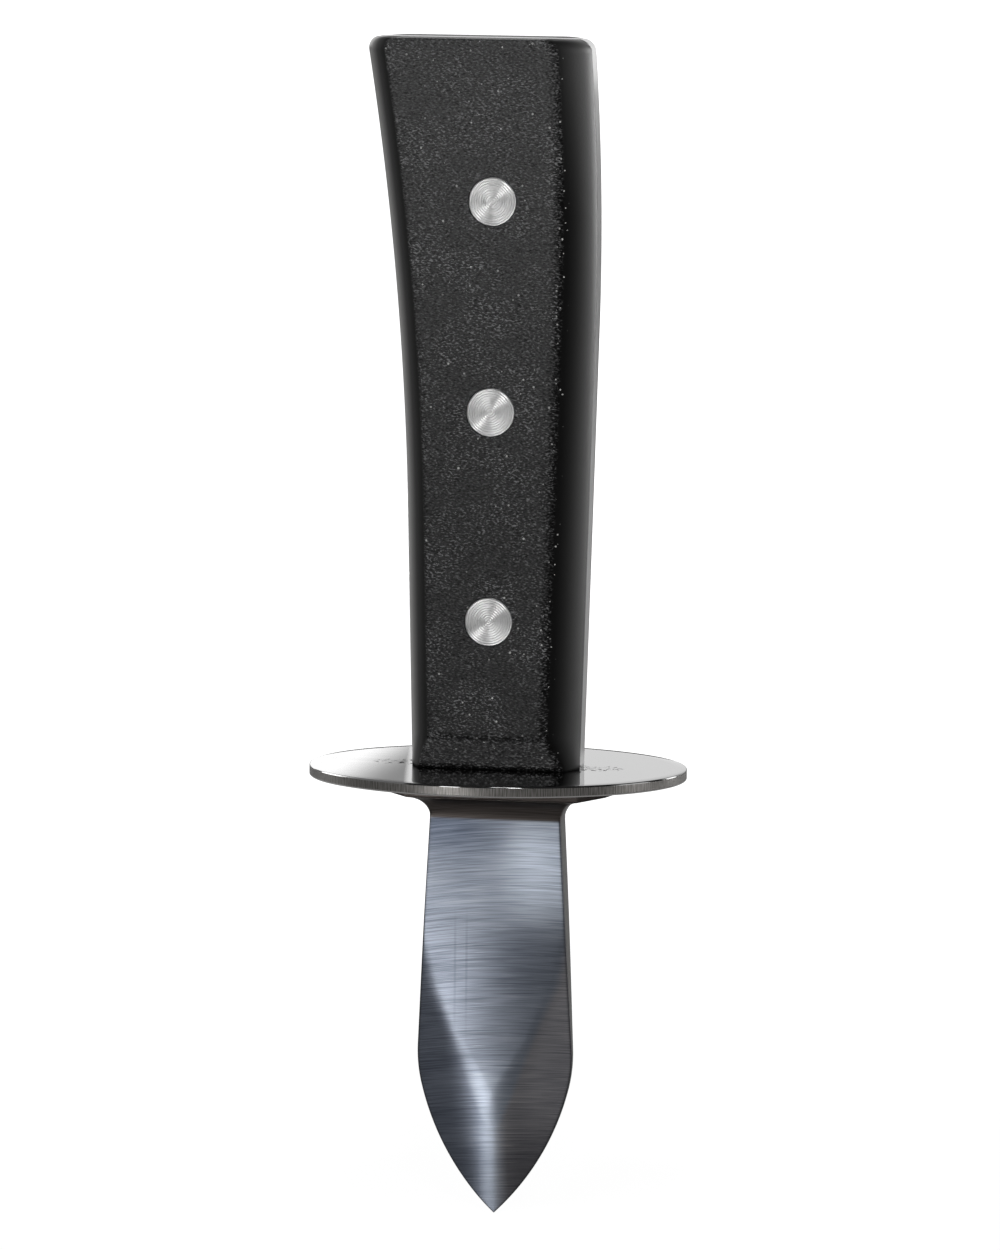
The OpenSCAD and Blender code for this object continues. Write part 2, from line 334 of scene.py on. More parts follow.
# %% Group: brushed grain
tree, given, results = new_group(
    "brushed_grain", "Shader",
    {"Vector": "Vector", "Stroke": 12 * MM, "Fineness": 0.11 * MM, "Bow": 2.0, "Lean": 0.0},
    {"Height": "Float", "Tone": "Float", "Scratch": "Float"})
x, y, z = axes(given["Vector"])
bowed = plus(z, minus(times(x, x, given["Bow"]), times(x, given["Lean"])))
DEPTH_SCALE = 120.0
FINE_SHARE, BROAD_SHARE = 0.70, 0.30


def stroke_noise(length, width, detail, seed):
    """Noise drawn out along X. Its strokes are so many times as long and wide as the group's."""
    where = add(tree, "ShaderNodeCombineXYZ", {
        "X": over(x, times(given["Stroke"], length)), "Y": times(y, DEPTH_SCALE),
        "Z": over(bowed, times(given["Fineness"], width))})
    return noise(where.outputs[0], 1.0, detail, 0.6, "4D", W=seed)


fine, broad = stroke_noise(0.9, 1.0, 1.0, 0.0), stroke_noise(1.6, 4.5, 1.0, 3.0)
lone = stroke_noise(0.6, 0.8, 0.0, 7.0)
mixed = plus(times(fine, FINE_SHARE), times(broad, BROAD_SHARE))
plug(results["Height"], mixed)
plug(results["Tone"], ramp(mixed, 0.32, 0.68))
plug(results["Scratch"], ramp(lone, 0.76, 0.86, 0.0, 0.8))

# %% Group: specks
tree, given, results = new_group(
    "specks", "Shader",
    {"Vector": "Vector", "Spacing": 1.2 * MM, "Size": 0.1, "Share": 0.2}, {"Mask": "Float"})
cells = add(tree, "ShaderNodeTexVoronoi", {
    "Vector": given["Vector"], "Scale": over(1.0, given["Spacing"]), "Randomness": 1.0})
draw = add(tree, "ShaderNodeTexWhiteNoise", {"Vector": cells.outputs["Position"]})
lot, girth = add(tree, "ShaderNodeSeparateColor", {0: draw.outputs["Color"]}).outputs[:2]
rare = math_node("LESS_THAN", lot, given["Share"])
near = math_node("LESS_THAN", cells.outputs["Distance"], times(given["Size"], plus(0.5, girth)))
plug(results["Mask"], times(rare, near))
print("groups:", [g.name for g in bpy.data.node_groups])

# %% [markdown]
# The scales are moulded or pressed with a fine leather-like grain, almost black. Real displacement
# would need millions of faces, so a bump gives the grain: noise drawn out in one direction, with small
# round pebbles taken out of it. The mesh tells the finish where it is, through four values at its
# points. On the crowned sides the grain is rubbed smooth. A painted sheen lightens the outer lip on the
# heel side, and painted light lightens the flat towards the butt and the bevel at the foot. Painted
# shade makes the creases black, with a painted contact shadow along the guard, and the creases hold
# most of the bright specks. Where shade is painted, the share of metal rises: a black metal mirrors
# nothing, so it takes away the sheen of plastic.

# %% Material: pebbled scale
scale_black, tree, place = new_material("scale_black", IOR=1.43)
side_mask, crease_mask, painted_shade_mask, lip_sheen_mask = stored(tree, "side", "crease", "shade", "lip")
z = axes(place)[2]
WARP, PEBBLE, GRAIN_DEPTH = 0.45 * MM, 0.42 * MM, 0.22 * MM
PRESSED_SCALE, PRESSED_TURN = (2300, 3400, 4900), (0, math.radians(28), 0)
FLAT_BLACK, FLECK_GREY, PAINTED_LIGHT_GREY = (0.012, 0.0123, 0.0126), (0.19, 0.192, 0.196), 0.5
SIDE_BLACK, LIP_SHEEN_GREY, PAINTED_SHADE_BLACK = (0.008, 0.008, 0.0078), (0.34, 0.335, 0.33), 0.0015
SPECK_WHITE = (0.62, 0.62, 0.61)
FOOT_TOP = HANDLE_Z + FOOT_H

warp = add(tree, "ShaderNodeTexNoise", {"Vector": place, "Scale": 900.0, "Detail": 2.0})
bend = add(tree, "ShaderNodeVectorMath", {0: warp.outputs["Color"], 1: (0.5, 0.5, 0.5)}, operation="SUBTRACT")
bend = add(tree, "ShaderNodeVectorMath", {0: bend.outputs[0], "Scale": WARP}, operation="SCALE")
moved = add(tree, "ShaderNodeVectorMath", {0: place, 1: bend.outputs[0]}, operation="ADD").outputs[0]
pebbles = add(tree, "ShaderNodeTexVoronoi", {"Vector": moved, "Scale": 1 / PEBBLE, "Smoothness": 0.35},
              feature="SMOOTH_F1")
wrinkles = noise(mapped(moved, PRESSED_SCALE, PRESSED_TURN), 1.0, 2.0, 0.55)
grain = minus(wrinkles, times(pebbles.outputs["Distance"], 0.5))

foot_here = ramp_mm(z, FOOT_TOP, FOOT_TOP - 0.8)
worn = largest(ramp(noise(place, 140.0, 3.0, 0.6), 0.35, 0.68, 0.25, 1.0), foot_here)
dust = use_group(tree, "specks", Vector=place, Spacing=1.15 * MM, Size=0.10, Share=0.42)["Mask"]
edge_dust = use_group(tree, "specks", Vector=moved, Spacing=0.62 * MM, Size=0.15, Share=0.36)["Mask"]
flat_specks = math_node("MULTIPLY", dust, minus(worn, side_mask), clamp=True)
speck_mask = largest(times(edge_dust, ramp(crease_mask, 0.2, 0.8)), flat_specks)
# The painted shade gets a ragged edge from the grain.
ragged = times(minus(wrinkles, 0.5), ramp(side_mask, 0.2, 1.0, 3.0, 0.0))
painted_shade_mask = math_node("SUBTRACT", painted_shade_mask, ragged, clamp=True)

# Painted light: the flat is lighter towards the butt, and so is the bevel at the foot.
painted_light = plus(ramp_mm(z, 95, 165, 0.006, 0.065), times(foot_here, 0.07))
flat_tone = blend(times(ramp(wrinkles, 0.54, 0.65), worn), FLAT_BLACK, FLECK_GREY)
flat_tone = blend(painted_light, flat_tone, PAINTED_LIGHT_GREY)
# Painted sheen: the outer lip is lighter, mostly on the heel side.
side_tone = blend(lip_sheen_mask, SIDE_BLACK, LIP_SHEEN_GREY)
# Painted shade: black beyond the creases and along the guard.
tone = blend(painted_shade_mask, blend(side_mask, flat_tone, side_tone), PAINTED_SHADE_BLACK)
relief = bump(plus(grain, times(speck_mask, 0.8)), GRAIN_DEPTH, ramp(side_mask, 0.0, 1.0, 0.95, 0.06))
# Where shade is painted, a black metal takes away the sheen of the plastic.
dress(scale_black, Base_Color=blend(speck_mask, tone, SPECK_WHITE), Metallic=times(painted_shade_mask, 0.66),
      Roughness=plus(ramp(side_mask, 0.0, 1.0, 0.40, 0.30), times(painted_shade_mask, 0.5)),
      Normal=relief)

# %% [markdown]
# Each scale is one surface over the outline of the handle. Its height above the tang is the least of
# four shapes: the flat face, the two crowned sides and the bevel at the foot. The edges at the butt and
# at the guard are then rounded off. A soft minimum instead of a hard one gives creases like those of
# the photograph, wide on the heel side and tight on the other. A Bevel modifier would round them alike.

# %% Outline and height of a scale
def side_edge(z, side):
    """Distance from the middle line to one side of the handle at height z."""
    bend_x = ROOT_W / 2 + side["straight"] * math.sin(SIDE_LEAN)
    bend_z = HANDLE_Z + side["straight"] * math.cos(SIDE_LEAN)
    centre_x = bend_x + side["bends"] * side["radius"] * math.cos(SIDE_LEAN)
    centre_z = bend_z - side["bends"] * side["radius"] * math.sin(SIDE_LEAN)
    arc = centre_x - side["bends"] * np.sqrt(side["radius"] ** 2 - (z - centre_z) ** 2)
    return np.where(z < bend_z, ROOT_W / 2 + (z - HANDLE_Z) * math.tan(SIDE_LEAN), arc)


def crown_height(depth):
    """Height of a crowned side above the tang's middle, at a depth inwards from the tang's edge."""
    rise = FACE_Y - TANG_Y
    chord = math.hypot(CROWN_INSET, rise)
    middle = math.sqrt(CROWN_R ** 2 - chord ** 2 / 4)
    centre_x = CROWN_INSET / 2 + middle * rise / chord
    centre_y = TANG_Y + rise / 2 - middle * CROWN_INSET / chord
    depth = np.clip(depth, 0, centre_x)
    return centre_y + np.sqrt(CROWN_R ** 2 - (centre_x - depth) ** 2)


BUTT_ROUND, FOOT_ROUND, EDGE_WALL = 0.55, 0.25, 0.07
SOFT_HEEL, SOFT_BACK, SOFT_FOOT = 1.15, 0.5, 0.45


def rounding(distance, radius):
    """How far a rounded edge drops below the face, at a distance in from the edge."""
    inset = radius - np.clip(distance, 0, radius)
    return radius - np.sqrt(np.clip(radius ** 2 - inset ** 2, 0, None))


def step_up(distance, width):
    """0 up to a distance of 0, and from there to 1 over a width."""
    return np.clip(distance / width, 0, 1)


def band(distance, width):
    """1 where the distance is 0, fading to both sides within about twice the width."""
    return np.exp(-(distance / width) ** 2)


def scale_height(x, z):
    """Height of the scale's surface, and masks of its sides, creases, painted shade and painted sheen on the
    lip.
    """
    heel_in, back_in = x + side_edge(z, HEEL), side_edge(z, BACK) - x
    heel, back = crown_height(heel_in), crown_height(back_in)
    foot = FACE_Y - FOOT_D + (z - HANDLE_Z) * FOOT_D / FOOT_H
    height = soft_min(np.full_like(x, FACE_Y), heel, SOFT_HEEL)
    height = soft_min(height, back, SOFT_BACK)
    height = soft_min(height, foot, SOFT_FOOT)
    height = height - rounding(BUTT_Z - z, BUTT_ROUND) - rounding(z - HANDLE_Z, FOOT_ROUND)
    lowest = np.minimum(heel, back)
    face = np.minimum(FACE_Y, foot)
    on_flat = face < lowest
    past_heel, past_back, past_foot = face - heel, face - back, foot - FACE_Y
    side = np.clip((face - lowest) / 0.5 + 0.5, 0, 1)
    # Dust lies in the creases: most at the back and below the butt, a little at the foot and the heel.
    crease = band(past_back + 0.1, 0.75) + 0.2 * band(past_heel, 0.4)
    crease += 0.9 * band(BUTT_Z - z - 0.9, 0.45) * on_flat
    crease += 0.35 * band(past_foot, 0.3) * on_flat
    # Painted shade lies beyond the creases, and fades as the side falls away from the face.
    back_shade = step_up(past_back + 1.5, 1.5) * (1 - step_up(past_back - 0.6, 5.8))
    back_shade *= 1 - 0.4 * step_up(z - 145, 20)
    heel_shade = 0.7 * step_up(past_heel + 0.3, 0.6) * (1 - step_up(past_heel - 1.6, 2.4))
    foot_shade = 0.6 * band(past_foot + 0.05, 0.2) * on_flat
    # A painted contact shadow lies along the guard.
    guard_shade = np.clip(1.3 - (z - HANDLE_Z) / 0.7, 0, 1)
    shade = np.maximum.reduce([back_shade, heel_shade, foot_shade, guard_shade])
    # A painted sheen lies on the outer lip, mostly on the heel side.
    lip = (1 - step_up(np.minimum(heel_in, back_in), 3.0)) ** 1.6 * np.where(x < 0, 1.0, 0.1)
    masks = {"side": side, "crease": np.clip(crease, 0, 1), "shade": shade, "lip": lip}
    return np.maximum(height, TANG_Y + EDGE_WALL), masks


# %% Build a scale
EDGE_BAND, SCALE_ANGLE, SEAT_GAP = 6.2, 38, 0.04


def build_scale(name, face):
    """One scale: face is -1 for the front and 1 for the rear."""
    # The grid is closer where the surface turns: at the foot, round the butt and at the sides.
    rows = np.unique(np.concatenate([
        HANDLE_Z + np.array([0, 0.03, 0.08, 0.15, 0.25, 0.4]),
        np.linspace(HANDLE_Z + 0.8, BUTT_Z - CORNER_R - 0.2, 230),
        BUTT_Z - CORNER_R + CORNER_R * np.sin(np.linspace(0, math.pi / 2, 22))]))
    edge_steps = EDGE_BAND * np.linspace(0, 1, 30) ** 1.25
    z = rows[:, None]
    left, right = -side_edge(z, HEEL), side_edge(z, BACK)
    middle = left + EDGE_BAND + (right - left - 2 * EDGE_BAND) * np.linspace(0, 1, 26)[None, 1:-1]
    x = np.concatenate([left + edge_steps, middle, right - edge_steps[::-1]], 1)
    z = np.broadcast_to(z, x.shape)
    height, masks = scale_height(x, z)
    trim = np.clip(z - (BUTT_Z - CORNER_R), 0, CORNER_R)
    inset = CORNER_R - np.sqrt(CORNER_R ** 2 - trim ** 2)
    share = (x - left) / (right - left)
    x = left + inset + (right - left - 2 * inset) * share
    front = np.stack([x, -height, z], -1).reshape(-1, 3)
    index = np.arange(x.size).reshape(x.shape)
    ring = np.concatenate([index[0, :-1], index[:-1, -1], index[-1, :0:-1], index[:0:-1, 0]])
    back = front[ring].copy()
    back[:, 1] = -TANG_Y
    outer = len(front) + np.arange(len(ring))
    walls = list(np.stack([ring, np.roll(ring, -1), np.roll(outer, -1), outer], 1))
    points = np.concatenate([front, back])
    points[:, 1] *= -face
    values = {label: np.concatenate([mask.ravel(), mask.ravel()[ring]]) for label, mask in masks.items()}
    faces = list(grid_faces(*x.shape)) + walls + [outer[::-1]]
    return finish_mesh(name, points, faces, scale_black, values, SCALE_ANGLE)


def drill(piece, face):
    """Cuts the three round seats of the rivet heads, then applies the cut."""
    tool = bmesh.new()
    hole_r = (HEAD_R + SEAT_GAP) * MM
    for z in RIVET_Z:
        seat = Matrix.Translation(Vector((0, face * FACE_Y, z)) * MM) @ Matrix.Rotation(math.pi / 2, 4, "X")
        bmesh.ops.create_cone(tool, cap_ends=True, segments=96, radius1=hole_r, radius2=hole_r,
                              depth=4 * MM, matrix=seat)
    cutter = new_object("cutter", bpy.data.meshes.new("cutter"))
    tool.to_mesh(cutter.data)
    tool.free()
    cut = piece.modifiers.new("seats", "BOOLEAN")
    cut.object, cut.operation, cut.solver = cutter, "DIFFERENCE", "EXACT"
    apply_modifier(piece, cut)
    smooth(piece.data, SCALE_ANGLE)
    bpy.data.meshes.remove(cutter.data)


for node, face in (("front_scale", -1), ("rear_scale", 1)):
    scale_piece = build_scale(node + "_grained", face)
    drill(scale_piece, face)
    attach(scale_piece, "root")
    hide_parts(node)
    tell(scale_piece)

# %% [markdown]
# The rivet heads were faced off on a lathe, and the turning marks make the bright bow tie that a turned
# disc shows. Anisotropic shading could fake it from one side; real grooves do it from all. A Geometry
# Nodes tree lays a grid out as a disc: one direction of the grid becomes the radius and the other the
# angle, and a cosine of the radius gives the grooves. A second grid makes the bevel and the wall, and a
# third closes the underside. The head is then placed at each rivet of a face, so one tree serves both.

# %% Material: turned aluminium
rivet_aluminium, tree, place = new_material("rivet_aluminium", Metallic=1.0)
RING_WIDTH = 0.13 * MM
rings = add(tree, "ShaderNodeTexNoise", {"W": over(stored(tree, "radius")[0], RING_WIDTH), "Scale": 1.0,
                                         "Detail": 1.0}, noise_dimensions="1D").outputs["Fac"]
haze = noise(place, 700.0)
cut_tone = ramp(plus(times(rings, 0.75), times(haze, 0.25)), 0.34, 0.64)
dress(rivet_aluminium, Base_Color=blend(cut_tone, 0.42, (0.62, 0.62, 0.615)),
      Roughness=ramp(haze, 0.3, 0.7, 0.285, 0.31))

# %% Geometry Nodes: turned rivet heads
tree, given, results = new_group("turned_heads", "Geometry", {
    "Head Radius": "Float", "Head Thickness": "Float", "Bevel": "Float", "Groove Pitch": "Float",
    "Groove Depth": "Float", "Segments": "Int", "Rings": "Int", "Count": "Int", "First": "Vector",
    "Step": "Vector", "Turn": "Vector", "Finish": "Material"}, {"Geometry": "Geometry"})


def disc_grid(rings):
    """A unit grid, the share of the way along its profile and the angle round its disc."""
    grid = add(tree, "GeometryNodeMeshGrid", {
        "Size X": 1.0, "Size Y": 1.0, "Vertices X": rings, "Vertices Y": given["Segments"]})
    x, y, _ = axes(add(tree, "GeometryNodeInputPosition").outputs[0])
    return grid.outputs["Mesh"], plus(x, 0.5), times(plus(y, 0.5), 2 * math.pi)


def lay_round(mesh, radius, around, height):
    """Moves the grid's points to a radius, an angle and a height along Z, and stores the radius."""
    where = add(tree, "ShaderNodeCombineXYZ", {
        "X": times(radius, math_node("COSINE", around)), "Y": times(radius, math_node("SINE", around)),
        "Z": height})
    move = add(tree, "GeometryNodeSetPosition", {"Geometry": mesh, "Position": where.outputs[0]})
    store = add(tree, "GeometryNodeStoreNamedAttribute", {
        "Geometry": move.outputs[0], "Name": "radius", "Value": radius}, data_type="FLOAT", domain="POINT")
    return store.outputs[0]


face_r = minus(given["Head Radius"], given["Bevel"])
mesh, along, around = disc_grid(given["Rings"])
radius = times(along, face_r)
wave = math_node("COSINE", times(2 * math.pi, over(radius, given["Groove Pitch"])))
groove = times(minus(wave, 1.0), times(given["Groove Depth"], 0.5))
face = lay_round(mesh, radius, around, times(groove, ramp(along, 1.0, 0.96)))

mesh, along, around = disc_grid(6)
bevel_drop = times(ramp(along, 0.0, 0.4), given["Bevel"])
wall_drop = times(ramp(along, 0.4, 1.0), minus(given["Head Thickness"], given["Bevel"]))
wall = lay_round(mesh, plus(face_r, bevel_drop), around, times(plus(bevel_drop, wall_drop), -1.0))

mesh, along, around = disc_grid(3)
under = lay_round(mesh, times(along, given["Head Radius"]), around, times(given["Head Thickness"], -1.0))
flip = add(tree, "GeometryNodeFlipFaces", {"Mesh": under})
head = add(tree, "GeometryNodeJoinGeometry")
for part in (face, wall, flip.outputs[0]):
    plug(head.inputs[0], part)
weld = add(tree, "GeometryNodeMergeByDistance", {"Geometry": head.outputs[0], "Distance": 0.0005 * MM})
line = add(tree, "GeometryNodeMeshLine", {
    "Count": given["Count"], "Start Location": given["First"], "Offset": given["Step"]}, mode="OFFSET")
spread = add(tree, "GeometryNodeInstanceOnPoints", {
    "Points": line.outputs[0], "Instance": weld.outputs[0], "Rotation": given["Turn"]})
real = add(tree, "GeometryNodeRealizeInstances", {0: spread.outputs[0]})
clad = add(tree, "GeometryNodeSetMaterial", {"Geometry": real.outputs[0], "Material": given["Finish"]})
plug(results[0], clad.outputs[0])
heads_tree = tree
print("turned_heads has", len(tree.nodes), "nodes")

# %% Place the rivet heads
def run_nodes(name, group, values):
    """Runs a Geometry Nodes group on an empty mesh and returns the result as a plain object."""
    start = new_object(name, bpy.data.meshes.new(name + "_start"))
    modifier = start.modifiers.new("nodes", "NODES")
    modifier.node_group = group
    sockets = {s.name: s.identifier for s in group.interface.items_tree if s.in_out == "INPUT"}
    for label, given_value in values.items():
        modifier[sockets[label]] = given_value
    apply_modifier(start, modifier)
    return start


HEAD_T = 2.0
rivet_step = (RIVET_Z[-1] - RIVET_Z[0]) / (len(RIVET_Z) - 1)
for face_name, sign in (("front", -1), ("rear", 1)):
    heads = run_nodes(face_name + "_rivet_heads", heads_tree, {
        "Head Radius": HEAD_R * MM, "Head Thickness": HEAD_T * MM, "Bevel": 0.12 * MM,
        "Groove Pitch": 0.34 * MM, "Groove Depth": 0.048 * MM, "Segments": 97, "Rings": 110,
        "Count": len(RIVET_Z), "First": (0, sign * FACE_Y * MM, RIVET_Z[0] * MM),
        "Step": (0, 0, rivet_step * MM), "Turn": (-sign * math.pi / 2, 0, 0),
        "Finish": rivet_aluminium})
    smooth(heads.data, angle=40)
    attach(heads, "root")
    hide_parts(*[f"{face_name}_rivet_{spot}" for spot in ("bottom", "middle", "top")])
    tell(heads)

# %% [markdown]
# The guard is a stamped oval, polished on top like a mirror and ground square on its rim. A flat plate
# with hard corners looks cut from card, so the section is drawn with small round edges and swept round
# the oval. The UV map runs along the rim, so that the grinding marks can stand upright on it. The real
# mirror shows dark things beside bright ones, and a painted reflection stands for them: the top's colour
# is bright at the left end and dark elsewhere, and its share of metal is full at the left end and beyond
# a line on the right, low between them. The joint round the forging's boss was brazed, which left small
# pits beside it. The tang takes this finish too.

# %% Material: polished and ground guard
guard_steel, tree, place = new_material("guard_steel", IOR=1.03)
rim_mask, = stored(tree, "rim")
x, y, z = axes(place)
BOSS_HALF, BOSS_R, PITS_OUT = 17 * MM, 1.5 * MM, 1.6
TANG_FROM = 66  # the height above which this finish covers the tang
VIEW_RIGHT = (0.979, 0.202)  # from above, what is right in the picture
PAINTED_REFLECTION_DULL, PAINTED_REFLECTION_BRIGHT, PAINTED_REFLECTION_RIGHT, TANG_GREY, PIT_BLACK = 0.17, 0.90, 0.13, 0.50, 0.02
UNDER_GREY = (0.64, 0.63, 0.62)
RIM_DARK, RIM_LIGHT = (0.11, 0.104, 0.098), (0.34, 0.33, 0.315)

surface = add(tree, "ShaderNodeUVMap", uv_map="along").outputs["UV"]
grinding = noise(mapped(surface, (6500.0, 180.0, 1.0)), 1.0, 2.0, 0.7, dimensions="2D")
swirl = use_group(tree, "brushed_grain", Stroke=30 * MM, Fineness=0.25 * MM, Bow=0.0,
                  Vector=mapped(place, (1, 1, 1), (math.pi / 2, 0, 0)))["Tone"]

beyond = largest(minus(math_node("ABSOLUTE", x), BOSS_HALF - BOSS_R), 0.0)
reach = math_node("SQRT", plus(times(beyond, beyond), times(y, y)))
joint_gap = math_node("ABSOLUTE", minus(reach, BOSS_R))
pit_mask = times(ramp_mm(joint_gap, PITS_OUT, 0.3), ramp(noise(place, 1100.0, 2.0, 0.6), 0.57, 0.60),
                 math_node("LESS_THAN", z, TANG_FROM * MM))

above = ramp_mm(z, TANG_FROM - 0.4, TANG_FROM)
below = ramp_mm(z, GUARD_Z + 0.26, GUARD_Z + 0.14)
covered = largest(rim_mask, above, below)
# Painted reflection: the top is bright at the left end, dark elsewhere, with less metal in its middle.
bright_left_reflection = times(ramp_mm(x, -22.5, -11.0, 1.0, 0.10), ramp(swirl, 0.0, 1.0, 0.94, 1.0))
across = plus(times(x, VIEW_RIGHT[0]), times(y, VIEW_RIGHT[1]))
metal_and_reflection_share = largest(bright_left_reflection, ramp_mm(across, -13.7, -12.5), covered)
reflection_and_steel_tone = blend(times(bright_left_reflection, bright_left_reflection), PAINTED_REFLECTION_DULL, PAINTED_REFLECTION_BRIGHT)
reflection_and_steel_tone = blend(ramp_mm(x, 0, 12), reflection_and_steel_tone, PAINTED_REFLECTION_RIGHT)
reflection_and_steel_tone = blend(below, blend(above, reflection_and_steel_tone, TANG_GREY), UNDER_GREY)
metal = blend(rim_mask, reflection_and_steel_tone, blend(ramp(grinding, 0.3, 0.7), RIM_DARK, RIM_LIGHT))
relief = bump(plus(times(rim_mask, grinding), times(pit_mask, -6.0)), 0.02 * MM, 0.7)
dress(guard_steel, Base_Color=blend(pit_mask, metal, PIT_BLACK), Metallic=times(metal_and_reflection_share, minus(1.0, pit_mask)),
      Roughness=plus(times(covered, 0.24), plus(0.035, times(swirl, 0.03)), times(pit_mask, 0.5)),
      Normal=relief)

# %% Build the guard
END_R = 22.0
SLOT_W, SLOT_D = 34.1, 3.1
EDGE_SOFT = 0.22


def oval_outline(count):
    """Points and outward normals evenly spread along the oval's four arcs, and the way travelled."""
    end_x = GUARD_W / 2 - END_R
    long_r = (end_x ** 2 + (GUARD_D / 2) ** 2 - END_R ** 2) / (GUARD_D - 2 * END_R)
    drop = long_r - GUARD_D / 2
    touch, quarter = math.atan2(end_x, drop), math.pi / 2
    arcs = [(0, -drop, long_r, quarter - touch, quarter + touch),
            (-end_x, 0, END_R, quarter + touch, 3 * quarter - touch),
            (0, drop, long_r, 3 * quarter - touch, 3 * quarter + touch),
            (end_x, 0, END_R, touch - quarter, quarter - touch)]
    around = sum(r * (b - a) for _, _, r, a, b in arcs)
    points, normals = [], []
    for cx, cy, r, a, b in arcs:
        steps = round(count * r * (b - a) / around)
        for t in a + (b - a) * np.arange(steps) / steps:
            normals.append((math.cos(t), math.sin(t)))
            points.append((cx + r * math.cos(t), cy + r * math.sin(t)))
    points, normals = np.array(points), np.array(normals)
    lengths = np.linalg.norm(np.diff(points, axis=0), axis=1)
    return points, normals, np.concatenate([[0], np.cumsum(lengths)])


def slot_outline(directions, length, width):
    """Points of a bar with round ends, each in the direction of a point of the oval."""
    half = length / 2 - width / 2
    angles = np.arctan2(directions[:, 1], directions[:, 0])
    c, s = np.cos(angles), np.sin(angles)
    reach = (width / 2) / np.maximum(np.abs(s), 1e-9)
    on_bar = np.abs(reach * c) <= half
    b = half * np.abs(c)
    round_end = b + np.sqrt(np.clip(b ** 2 - half ** 2 + (width / 2) ** 2, 0, None))
    reach = np.where(on_bar, reach, round_end)
    return np.stack([reach * c, reach * s], -1)


def build_guard():
    """The guard as rings: out over the top, down the rim, and back in underneath to the slot."""
    outline, normals, travel = oval_outline(320)
    slot = slot_outline(outline, SLOT_W, SLOT_D)
    count = len(outline)
    arc = np.linspace(0, math.pi / 2, 5)
    upright = HANDLE_Z - GUARD_Z - 2 * EDGE_SOFT
    section = [(EDGE_SOFT * (1 - math.sin(a)), HANDLE_Z - EDGE_SOFT * (1 - math.cos(a)), 0.0) for a in arc]
    section += [(0.0, HANDLE_Z - EDGE_SOFT - upright * t, 1.0) for t in (0.02, 0.5, 0.98)]
    section += [(EDGE_SOFT * (1 - math.cos(a)), GUARD_Z + EDGE_SOFT * (1 - math.sin(a)), 0.0) for a in arc]

    def flat_rings(shares, z):
        """Rings at one height, each at a share of the way from the slot to the rounded edge."""
        flat = [slot + (outline - normals * EDGE_SOFT - slot) * share for share in shares]
        return [np.column_stack([ring, np.full(count, z)]) for ring in flat]

    top, bottom = flat_rings((0.0, 0.35, 0.7, 0.93), HANDLE_Z), flat_rings((0.93, 0.5, 0.0), GUARD_Z)
    sides = [np.column_stack([outline - normals * inset, np.full(count, z)]) for inset, z, _ in section]
    rings = top + sides + bottom
    rim = [0.0] * len(top) + [is_rim for _, _, is_rim in section] + [0.0] * len(bottom)
    steps = [np.linalg.norm(b - a, axis=1).mean() for a, b in zip(rings, rings[1:])]
    uv = [np.column_stack([travel, np.full(count, far)]) * MM for far in np.cumsum([0.0] + steps)]
    faces = list(grid_faces(len(rings), count, closed=True))
    base = (len(rings) - 1) * count
    faces += [(base + j, base + (j + 1) % count, (j + 1) % count, j) for j in range(count)]
    return finish_mesh("guard_polished", np.concatenate(rings), faces, guard_steel,
                       {"rim": np.repeat(rim, count)}, angle=50, uv=np.concatenate(uv))


guard = build_guard()
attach(guard, "root")
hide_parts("guard")
tell(guard)

# %% [markdown]
# The blade, the bolster and the tang are one forging. The blade was ground on a belt, which leaves
# strokes across it and bevels whose ridges are soft, so its surface is again a soft minimum: of the full
# thickness and of the two bevels, each measured from its own edge. The loops of the blade carry on into
# the hollow of the bolster without a seam. The steel is brushed grain under an anisotropic metal. Tints
# then darken or brighten it by place. Painted shade darkens the left bevel, both bevels near the tip and
# a corner by the bolster, and the bolster under the guard is painted dark and brown with shade. Painted
# highlights brighten the ridge and the flat towards the top right. The right bevel gets a warmer tint,
# and two darker lines are those that a coarse grain of the belt drew.

# %% Material: brushed steel
forged_steel, tree, place = new_material(
    "forged_steel", Metallic=1.0, Anisotropic=0.8, Anisotropic_Rotation=0.25)
brush = use_group(tree, "brushed_grain", Vector=place, Stroke=7.5 * MM, Fineness=0.062 * MM,
                  Bow=5.0, Lean=0.06)
left, right, wall, edge, ridge = stored(tree, "left_bevel", "right_bevel", "wall", "edge", "ridge")
x, _, z = axes(place)
STEEL_DARK, STEEL_LIGHT = (0.115, 0.130, 0.160), (0.285, 0.310, 0.360)
SCRATCH_GREY, WALL_GREY, EDGE_GREY = (0.62, 0.64, 0.68), (0.11, 0.107, 0.10), (0.05, 0.05, 0.055)
PAINTED_SHADE_DARK, PAINTED_SHADE_LIGHT = (0.055, 0.046, 0.042), (0.11, 0.098, 0.092)
LINES_X, LINE_HALF = (-5.7, -4.0), 0.26

clouds = ramp(noise(mapped(place, (70.0, 70.0, 190.0)), 1.0), 0.60, 0.30, 0.0, 0.45)
# Painted highlight: a sheen brightens the flat towards the top right.
sheen = times(ramp_mm(z, 40, 48), ramp_mm(z, 57.5, 52.5, 0.5, 1.0), ramp_mm(x, -1, 7, 0.22, 1.0))
tone = blend(brush["Tone"], STEEL_DARK, STEEL_LIGHT)
tone = blend(clouds, tone, (0.5, 0.52, 0.56), "MULTIPLY")
tone = blend(sheen, tone, (2.3, 2.3, 2.25), "MULTIPLY")
tone = blend(brush["Scratch"], tone, SCRATCH_GREY)

